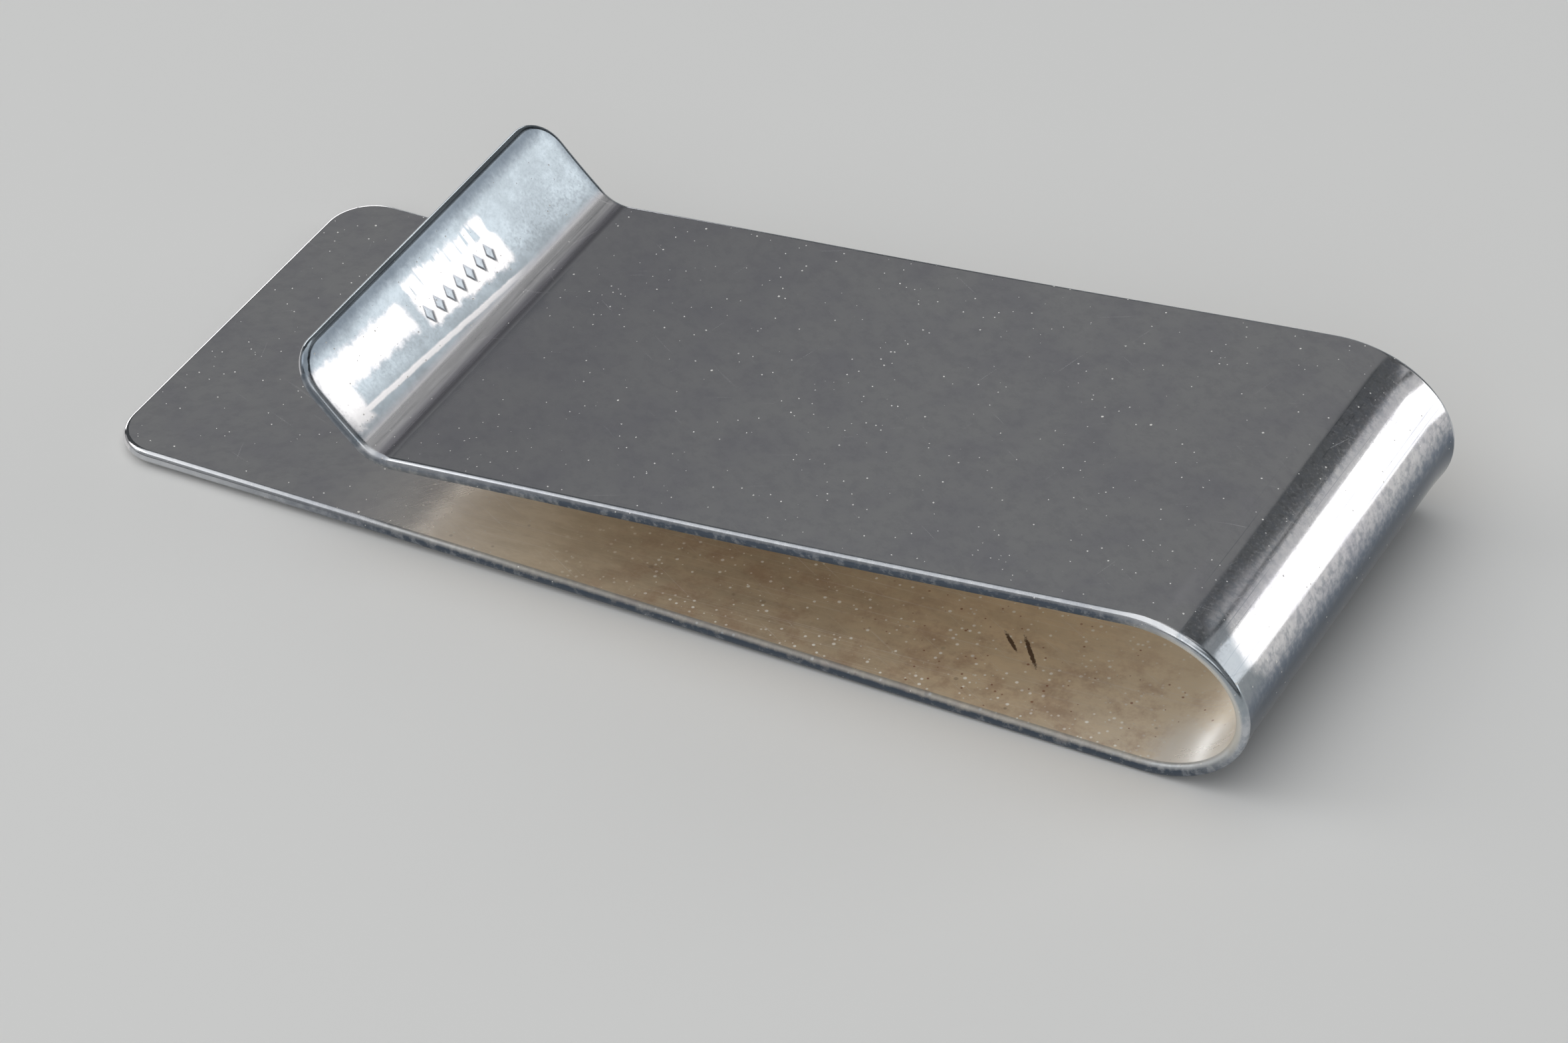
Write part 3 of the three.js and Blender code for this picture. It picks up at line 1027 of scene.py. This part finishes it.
class OBJECT_OT_clip_thumb_lip(PieceOperator, bpy.types.Operator):
    """Adds the fold and the flared thumb lip with its punched ornaments"""

    bl_idname = "object.clip_thumb_lip"
    bl_label = "Fold and Thumb Lip"

    FOLD_SLICES = 30
    ROOT_SLICES = 6
    PUNCH_SLICES = 40
    TIP_SLICES = 10
    PUNCH_SLICES_ACROSS = 150
    SIDE_SLICES = 10
    ROW_MARGIN = 0.4 * MM
    PUNCH_REACH = 0.85  # half the finely sliced height, as a share of a lozenge's height

    def execute(self, context):
        s, line = self.begin(context)
        bm = cut_blank(s, line.spring_end, line.tip, corner_end=s.lip_corner)
        slice_blank(bm, ALONG, line.spring_end, line.fold_end, self.FOLD_SLICES)
        middle = line.fold_end + s.punch_place
        half = s.punch_height * self.PUNCH_REACH
        slice_blank(bm, ALONG, line.fold_end, middle - half, self.ROOT_SLICES)
        slice_blank(bm, ALONG, middle - half, middle + half, self.PUNCH_SLICES)
        slice_blank(bm, ALONG, middle + half, line.tip, self.TIP_SLICES)
        row = s.punch_row / 2 + self.ROW_MARGIN
        slice_blank(bm, ACROSS, -row, row, self.PUNCH_SLICES_ACROSS)
        for side in (-1, 1):
            slice_blank(bm, ACROSS, side * row, side * s.width / 2, self.SIDE_SLICES)
        press_punches(bm, s, line)
        bend_blank(bm, s, line)
        silver = self.silver("worn_lip_silver", self.BEND_PITTING)
        lip = finish_piece(bm, "thumb_lip_strip", [line.spring_end], silver)
        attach(lip, "spring")
        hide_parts("leaf_fold", "thumb_lip")
        return {"FINISHED"}


# name, azimuth, elevation and roll in degrees, distance, width and height in metres, brightness.
# An azimuth of 0 stands behind the clip, at +Y, and 90 to its right, at +X.
SOFTBOXES = (
    ("grey_card", -21.5, 41.0, 15.7, 0.50, 0.378, 0.347, 0.115),
    ("key_box", 52, 13.0, 0, 0.50, 0.30, 0.26, 1.5),
    ("key_glow", 49, 31, 0, 0.52, 0.37, 0.09, 0.45),
    ("high_box", 20, 58, 0, 0.50, 0.34, 0.13, 0.24),
    ("dim_card", 33, 45, -30, 0.50, 0.12, 0.11, 0.36),
    ("low_box", -50, 8, 0, 0.60, 0.40, 0.14, 2.2),
    ("top_box", -150, 78, 0, 0.60, 0.90, 0.90, 1.05),
    ("left_box", -105, 35, 0, 0.60, 0.30, 0.30, 1.3),
    ("front_box", 163, 28, 0, 0.60, 0.52, 0.22, 1.3),
    ("side_card", -145, 28, 0, 0.60, 0.60, 0.40, 0.25),
    ("right_card", 120, 28, 0, 0.60, 0.75, 0.45, 0.22),
    ("left_card", -102, 12, 0, 0.60, 0.55, 0.24, 0.25),
    ("back_card", -6, 12, 0, 0.60, 0.46, 0.24, 0.18),
)


class OBJECT_OT_clip_stage(bpy.types.Operator):
    """Adds the floor, the softboxes, the room and the camera"""

    bl_idname = "object.clip_stage"
    bl_label = "Studio"

    FLOOR_SIZE = 4.0
    SENSOR = 36.0

    def execute(self, context):
        studio = context.scene.studio_setup
        self.add_floor(context, studio)
        for box in SOFTBOXES:
            self.add_softbox(context, *box)
        self.add_room(context, studio)
        self.add_camera(context, studio)
        context.scene.view_settings.view_transform = "Standard"
        return {"FINISHED"}

    def add_floor(self, context, studio):
        bm = bmesh.new()
        bmesh.ops.create_grid(bm, x_segments=1, y_segments=1, size=self.FLOOR_SIZE / 2)
        mesh = bpy.data.meshes.new("floor")
        bm.to_mesh(mesh)
        bm.free()
        mesh.materials.append(floor_finish(studio))
        floor = bpy.data.objects.new("floor", mesh)
        floor.location.z = cad_box[0].z
        context.scene.collection.objects.link(floor)

    def add_softbox(self, context, name, azimuth, elevation, roll, distance, wide, high, bright):
        light = bpy.data.lights.new(name, "AREA")
        light.shape = "RECTANGLE"
        light.size, light.size_y = wide, high
        light.energy = bright * math.pi * wide * high
        a, e = math.radians(azimuth), math.radians(elevation)
        away = Vector((math.sin(a) * math.cos(e), math.cos(a) * math.cos(e), math.sin(e)))
        box = bpy.data.objects.new(name, light)
        box.location = CLIP_CENTRE + away * distance
        rolled = Matrix.Rotation(math.radians(roll), 3, "Z")
        box.rotation_euler = (away.to_track_quat("Z", "Y").to_matrix() @ rolled).to_euler()
        box.visible_camera = False
        context.scene.collection.objects.link(box)

    def add_room(self, context, studio):
        world = bpy.data.worlds.new("room")
        world.use_nodes = True
        background = world.node_tree.nodes["Background"]
        background.inputs["Color"].default_value = (*studio.room_colour, 1)
        background.inputs["Strength"].default_value = studio.room_light
        context.scene.world = world

    def add_camera(self, context, studio):
        data = bpy.data.cameras.new("camera")
        data.sensor_width = self.SENSOR
        data.lens = studio.lens
        a, e = studio.camera_azimuth, studio.camera_elevation
        back = Vector((math.sin(a) * math.cos(e), -math.cos(a) * math.cos(e), math.sin(e)))
        right = Vector((0, 0, 1)).cross(back).normalized()
        turned = Matrix((right, back.cross(right), back)).transposed()
        camera = bpy.data.objects.new("camera", data)
        camera.location = Vector(studio.aim) + back * studio.camera_distance
        camera.rotation_euler = (turned @ Matrix.Rotation(studio.camera_roll, 3, "Z")).to_euler()
        context.scene.collection.objects.link(camera)
        context.scene.camera = camera


class VIEW3D_PT_money_clip(bpy.types.Panel):
    """Sizes, colours and steps of the money clip"""

    bl_label = "Money Clip"
    bl_space_type = "VIEW_3D"
    bl_region_type = "UI"
    bl_category = "Money Clip"

    def draw(self, context):
        for operator in OPERATORS:
            self.layout.operator(operator.bl_idname)
        for group_name, _ in PROPERTY_GROUPS:
            group = getattr(context.scene, group_name)
            box = self.layout.box()
            for name in group.__annotations__:
                box.prop(group, name)


PROPERTY_GROUPS = (
    ("clip_sizes", ClipSizes),
    ("silver_colours", SilverColours),
    ("studio_setup", StudioSetup),
)
OPERATORS = (
    OBJECT_OT_clip_stage,
    OBJECT_OT_clip_back_leaf,
    OBJECT_OT_clip_bow,
    OBJECT_OT_clip_spring_leaf,
    OBJECT_OT_clip_thumb_lip,
)


def register():
    for name, group in PROPERTY_GROUPS:
        bpy.utils.register_class(group)
        setattr(bpy.types.Scene, name, PointerProperty(type=group))
    for cls in (*OPERATORS, VIEW3D_PT_money_clip):
        bpy.utils.register_class(cls)


def unregister():
    for cls in (VIEW3D_PT_money_clip, *reversed(OPERATORS)):
        bpy.utils.unregister_class(cls)
    for name, group in reversed(PROPERTY_GROUPS):
        delattr(bpy.types.Scene, name)
        bpy.utils.unregister_class(group)


def main():
    register()
    bpy.ops.object.clip_stage()
    bpy.ops.object.clip_back_leaf()
    bpy.ops.object.clip_bow()
    bpy.ops.object.clip_spring_leaf()
    bpy.ops.object.clip_thumb_lip()


if __name__ == "__main__":
    main()
